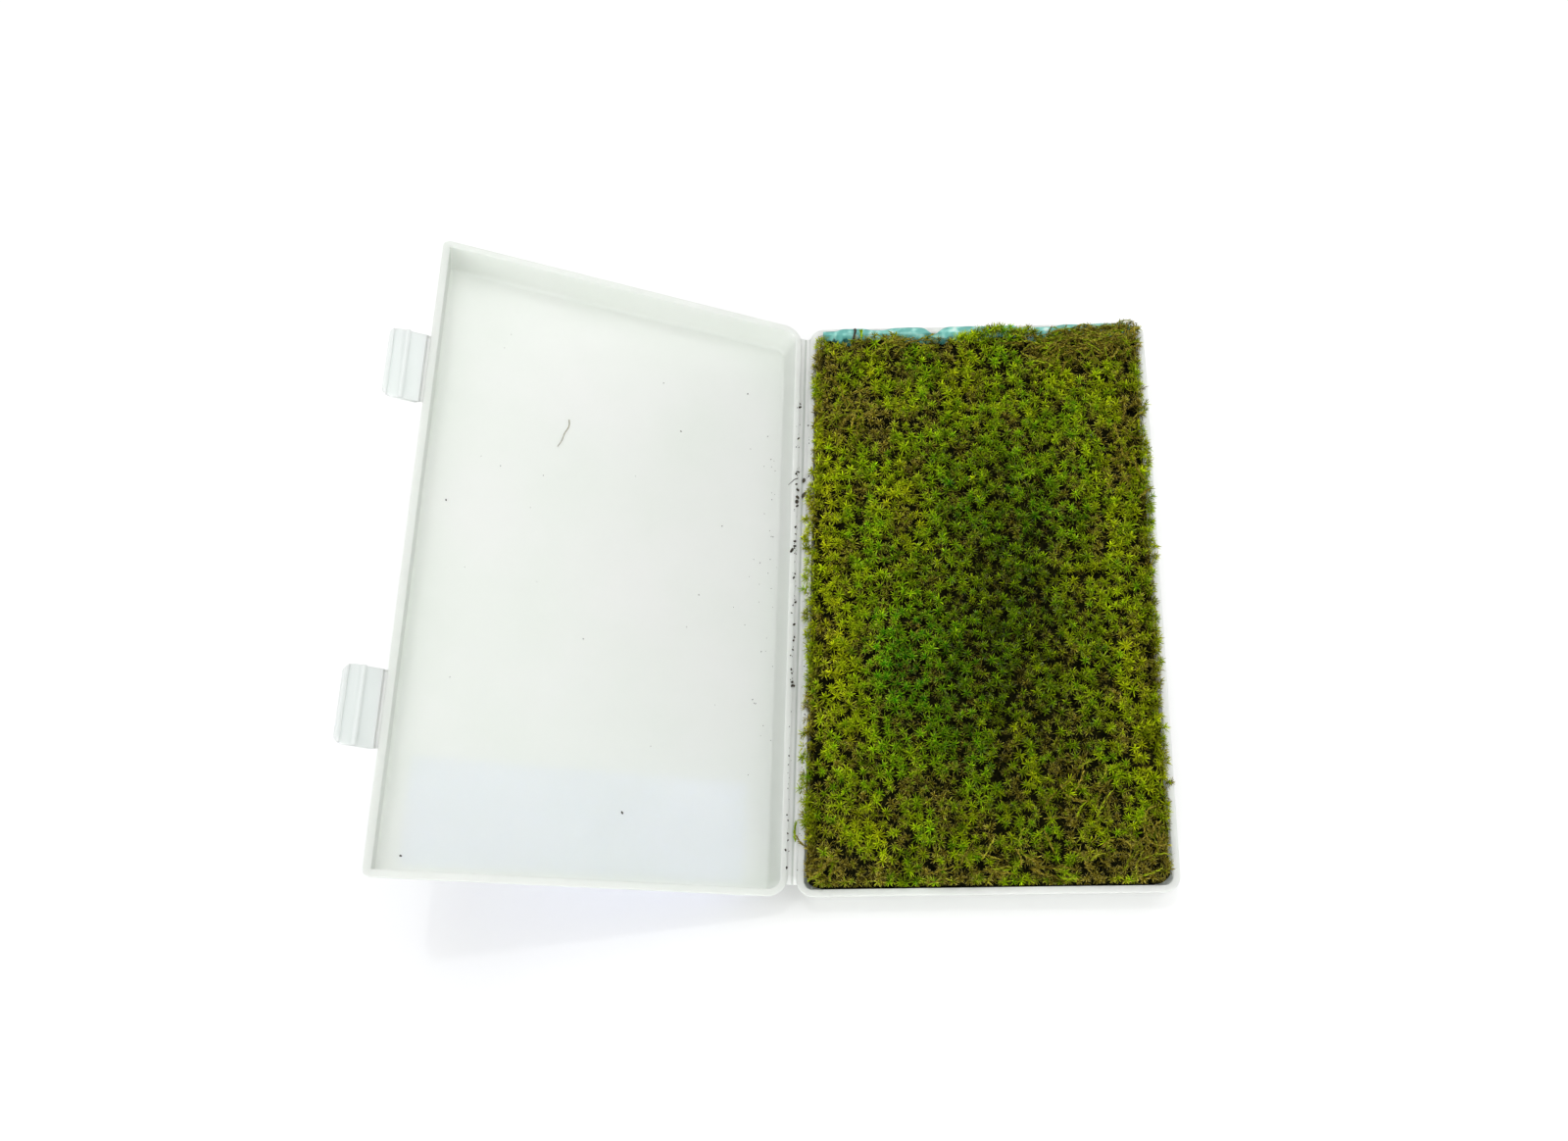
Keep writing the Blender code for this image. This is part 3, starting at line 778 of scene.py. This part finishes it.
# Optical brightener in the paper turns some daylight blue. The emission is also a painted glow that lightens
# the label where the lid's plastic shades it.
label_shader.inputs["Emission Color"].default_value = linear("#e2e2ff")
label_shader.inputs["Emission Strength"].default_value = 0.24
label_rows, label_columns = 30, 90
label_corners = []
for i in range(label_rows):
    for j in range(label_columns):
        y = LABEL_Y[0] + (LABEL_Y[1] - LABEL_Y[0]) * i / (label_rows - 1)
        out = LABEL_OUT[0] + (LABEL_OUT[1] - LABEL_OUT[0]) * j / (label_columns - 1)
        # The paper ripples off the plastic by a few hundredths of a millimetre.
        ripple = 0.03 * MM * (1 + noise.noise(Vector((out, y, 0)) / (9 * MM)))
        label_corners.append(on_lid(out, LABEL_UP + ripple, y))
label_sheet = mesh_piece("label_sheet", label_corners, lattice(label_rows, label_columns), label_paper)
label_body = label_sheet.modifiers.new("paper_thickness", "SOLIDIFY")
label_body.thickness = 0.1 * MM
label_body.offset = 0
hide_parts("label")
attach(label_sheet, "lid")

# ---- Snap latches ----------------------------------------------------------------------------
# Two latches on the lid's free edge hook under the tray's rim. They stick out as each was last bent,
# the near one further in. A short thin web of the same moulding joins each to the lid.
LATCH_HALF = 10.3 * MM
# Where each latch is along the hinge, and how far it is bent in from the lid's plane.
LATCH_TURN = {"latch_far": (48.8 * MM, radians(2)), "latch_near": (-48.8 * MM, radians(16))}
# Bending has clouded the latches' plastic, so that it scatters more of the light.
# Its tint is greyer than the lid's: painted shade, which holds the latches, standing in fuller light than the
# lid's panel, to the lid's brightness.
bent_plastic = frosted_polypropylene("stress_whitened_polypropylene_painted_shade", ("#d9dfdc", "#dee3e1"), 0.93)
for latch_name, (latch_y, turn) in LATCH_TURN.items():
    dress(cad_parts[latch_name], bent_plastic)
    pin = on_lid(108.7 * MM, 0.35 * MM)
    latch_out = cos(turn) * lid_out - sin(turn) * lid_up
    way = (on_lid(107.9 * MM, 0.45 * MM), pin, pin + 0.55 * MM * latch_out)
    strap = folding_strip(
        f"{latch_name}_web",
        way,
        (0.34 * MM, 0.24 * MM),
        latch_y - LATCH_HALF,
        latch_y + LATCH_HALF,
        case_plastic,
        16,
    )
    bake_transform(strap)

# ---- Crumbs and stray bits -------------------------------------------------------------------
# Soil, bark and dead moss fell out of the mat: dark flakes and specks along the hinge, a few on the
# lid, and fine stems on its lip and panel and over the far wall, where two shoots lie beside the stem.
# One live sprig hangs out over the hinge side of the rim.
CRUMB_THICK = 0.15 * MM
# Peat and bark dry to a dull brown that is nearly black, and a bare moss stem to a pale grey-brown.
crumb_bark, crumb_shader = new_finish("dry_peat_and_bark_crumbs", roughness=0.85)
crumb_colour = ramp(crumb_bark, noise_on(crumb_bark, 0.4 * MM, 4), ((0.35, "#15140f"), (0.7, "#4a4230")))
crumb_bark.node_tree.links.new(crumb_colour, crumb_shader.inputs["Base Color"])
dry_stem, stem_shader = new_finish("dry_moss_stem", roughness=0.7)
stem_colour = ramp(dry_stem, noise_on(dry_stem, 0.8 * MM, 3), ((0.3, "#6e6650"), (0.7, "#b5ad92")))
dry_stem.node_tree.links.new(stem_colour, stem_shader.inputs["Base Color"])
# Larger crumbs, as (x, y, length, width, heading) in millimetres and radians. On the lid, x is the
# distance from the fold line.
TRAY_CRUMBS = ((-54.3, 37.4, 1.7, 1.1, 1.4), (-54.2, 32.4, 2.4, 1.0, 1.1), (-54.0, 18.2, 1.5, 1.0, 0.7))
LID_CRUMBS = (
    (1.4, 31.4, 1.3, 1.0, 0.4),
    (1.5, 29.8, 1.4, 1.1, 1.8),
    (1.4, 28.4, 1.2, 0.7, 2.4),
    (2.7, 13.4, 1.9, 0.8, 2.0),
    (1.4, 40.0, 1.1, 0.6, 0.2),
    (1.3, 62.6, 1.2, 0.7, 2.4),
    (1.6, 51.5, 1.1, 0.5, 2.2),
)
PANEL_CRUMBS = (
    (46.0, -68.8, 0.9, 0.5, 1.0),
    (100.1, -84.0, 0.7, 0.5, 0.3),
    (99.5, 15.3, 0.6, 0.4, 1.2),
    (36.1, 51.2, 0.5, 0.4, 0.2),
    (15.7, 69.3, 0.5, 0.4, 2.2),
    (28.0, -1.5, 0.4, 0.3, 0.8),
    (60.0, -20.0, 0.35, 0.3, 0.5),
    (22.0, 22.0, 0.4, 0.3, 2.6),
)
crumb_dice = np.random.default_rng(97)


def crumbs(name, items, place, body):
    """Flat irregular crumbs joined into one piece. place gives where (x, y, up) is on the body."""
    bm = bmesh.new()
    for x, y, length, width, heading in items:
        spot = Vector(crumb_dice.uniform(0, 50, 3))
        ball = bmesh.ops.create_icosphere(bm, subdivisions=2, radius=0.5)["verts"]
        for vert in ball:
            rough = 1 + 0.45 * noise.noise(vert.co * 3 + spot)
            ahead, aside = vert.co.x * length * rough * MM, vert.co.y * width * rough * MM
            up = vert.co.z * CRUMB_THICK * rough * 0.9
            across = (ahead * cos(heading) - aside * sin(heading)) / MM + x
            along_y = (ahead * sin(heading) + aside * cos(heading)) / MM + y
            vert.co = place(across, along_y, up)
    mesh = bpy.data.meshes.new(name)
    bm.to_mesh(mesh)
    bm.free()
    made = add_object(name, mesh, crumb_bark)
    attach(made, body)


def on_rim(x, y, up):
    """A place on the tray's rim lip."""
    return Vector((x * MM, y * MM, rim_z + CRUMB_THICK / 2 + up))


def on_lip(out, y, up):
    """A place on the open lid's rim lip."""
    return on_lid(out * MM, 0.15 * MM - CRUMB_THICK / 2 - up, y * MM)


def on_panel(out, y, up):
    """A place on the inside of the open lid's panel."""
    return on_lid(out * MM, 9.95 * MM - CRUMB_THICK / 2 - up, y * MM)


def specks(count, low, high, largest=0.65):
    """Small crumbs scattered between two corners."""
    x = crumb_dice.uniform(low[0], high[0], count)
    y = crumb_dice.uniform(low[1], high[1], count)
    size = 0.2 + (largest - 0.2) * crumb_dice.random(count) ** 2
    return np.column_stack([x, y, size, 0.7 * size, 6 * size]).tolist()


crumbs("crumbs_on_tray", list(TRAY_CRUMBS) + specks(36, (-53.4, -84), (-52.2, 60)), on_rim, "tray")
lip_specks = specks(60, (1.1, -84), (2.3, 66), 0.8) + specks(30, (1.0, -30), (2.0, 42), 1.2)
crumbs("crumbs_on_lid_lip", list(LID_CRUMBS) + lip_specks, on_lip, "lid")
panel_specks = specks(16, (8, -50), (100, 75), 0.4) + specks(40, (3.4, -60), (14, 60), 0.4)
crumbs("crumbs_in_lid", list(PANEL_CRUMBS) + panel_specks, on_panel, "lid")


def stem_piece(name, points, thick, body, material):
    """A thin tapering stem through these points."""
    curve = bpy.data.curves.new(name, "CURVE")
    curve.dimensions = "3D"
    curve.bevel_depth = thick / 2
    curve.bevel_resolution = 2
    curve.resolution_u = 8
    line = curve.splines.new("BEZIER")
    line.bezier_points.add(len(points) - 1)
    for index, (knot, point) in enumerate(zip(line.bezier_points, points)):
        knot.co = point
        knot.handle_left_type = knot.handle_right_type = "AUTO"
        knot.radius = 1 - 0.5 * index / (len(points) - 1)
    drawn = bpy.data.objects.new(name, curve)
    bpy.context.scene.collection.objects.link(drawn)
    bpy.context.view_layer.update()
    mesh = bpy.data.meshes.new_from_object(drawn)
    bpy.data.objects.remove(drawn)
    made = add_object(name, mesh, material)
    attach(made, body)
    return made


stem_piece(
    "stem_on_lid_lip",
    [on_lip(*p, 0) for p in ((1.4, 37.8), (2.4, 37.2), (3.3, 36.2), (4.4, 34.9))],
    0.3 * MM,
    "lid",
    crumb_bark,
)
stem_piece(
    "stem_in_lid",
    [on_panel(*p, 0) for p in ((69.0, 47.4), (68.9, 45.4), (70.0, 42.6), (70.6, 40.2), (71.6, 38.0))],
    0.34 * MM,
    "lid",
    dry_stem,
)
far_stem_way = ((-38.9, 90.2, 13.3), (-38.7, 88.7, 14.6), (-38.9, 87.0, 15.3), (-39.3, 85.6, 15.0))
far_stem = stem_piece("stem_at_far_wall", [Vector(p) * MM for p in far_stem_way], 1 * MM, "tray", crumb_bark)
far_sprig_way = np.array([[-36.9, 85.6, 1.3, 0.1, 5.0], [-36.4, 86.2, 1.9, -0.1, 4.0]])
corners, triangles, fields = creeping_shoots(far_sprig_way, 40, 75, lambda x, y: 14.9 * MM + 0 * x, ALL_GREEN)
far_sprig = mesh_piece("sprig_at_far_wall", corners.reshape(-1, 3), triangles, living_moss, fields)
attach(far_sprig, "tray")
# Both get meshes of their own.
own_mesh(far_sprig)
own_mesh(far_stem)
# The sprig hangs out over the rim beside the hinge, its green tip turned towards the far end.
sprig_way = np.array([[-50.6, -77.2, 2.72, -0.17, 4.2], [-54.1, -75.6, 1.72, -0.06, 5.4]])
corners, triangles, fields = creeping_shoots(sprig_way[:1], 30, 73, lambda x, y: 13.3 * MM + 0 * x)
tip_corners, tip_triangles, tip_fields = creeping_shoots(
    sprig_way[1:], 46, 74, lambda x, y: 13.1 * MM + 0 * x, ALL_GREEN
)
shift = corners.shape[0] * corners.shape[1]
sprig = mesh_piece(
    "stray_sprig",
    np.concatenate([corners.reshape(-1, 3), tip_corners.reshape(-1, 3)]),
    np.concatenate([triangles, tip_triangles + shift]),
    living_moss,
    {key: np.concatenate([fields[key].ravel(), tip_fields[key].ravel()]) for key in fields},
)
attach(sprig, "tray")
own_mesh(sprig)

# ---- Stage -----------------------------------------------------------------------------------
# A white sweep of studio paper under a large softbox, with white walls all round. A broad low light
# from in front, as from a window, lights the lid's inner walls and the near sides of the shoots.
floor_mesh = bpy.data.meshes.new("studio_paper")
reach = 30.0
floor_mesh.from_pydata(
    [(-reach, -reach, 0), (reach, -reach, 0), (reach, reach, 0), (-reach, reach, 0)], [], [(0, 1, 2, 3)]
)
studio_paper = bpy.data.objects.new("studio_paper", floor_mesh)
studio_paper.location.z = -0.05 * MM
bpy.context.scene.collection.objects.link(studio_paper)
white_sweep, sweep_shader = new_finish("white_studio_paper", roughness=0.9)
sweep_shader.inputs["Base Color"].default_value = (0.94, 0.94, 0.94, 1)
floor_mesh.materials.append(white_sweep)

white_room = bpy.data.worlds.new("white_room")
white_room.use_nodes = True
white_room.node_tree.nodes["Background"].inputs["Color"].default_value = (1, 1, 1, 1)
white_room.node_tree.nodes["Background"].inputs["Strength"].default_value = 0.78
bpy.context.scene.world = white_room


def studio_light(name, kind, energy, place, aim=(0, 0, 0)):
    """A light at a place, pointed at another. Returns its settings."""
    lamp = bpy.data.lights.new(name, kind)
    lamp.energy = energy
    stand = bpy.data.objects.new(name, lamp)
    stand.location = place
    stand.rotation_euler = (Vector(aim) - stand.location).to_track_quat("-Z", "Y").to_euler()
    bpy.context.scene.collection.objects.link(stand)
    return lamp


softbox = studio_light("softbox", "AREA", 2.3, (0.12, 0.3, 0.75))
softbox.shape = "RECTANGLE"
softbox.size = 0.8
softbox.size_y = 0.6
studio_light("strobe", "AREA", 0.45, (-0.05, 0.1, 0.8)).size = 0.03
studio_light("window", "SUN", 1.55, (-0.25, -0.6, 0.2), (-0.1, 0.05, 0.03)).angle = radians(40)
bpy.context.scene.view_settings.view_transform = "Standard"
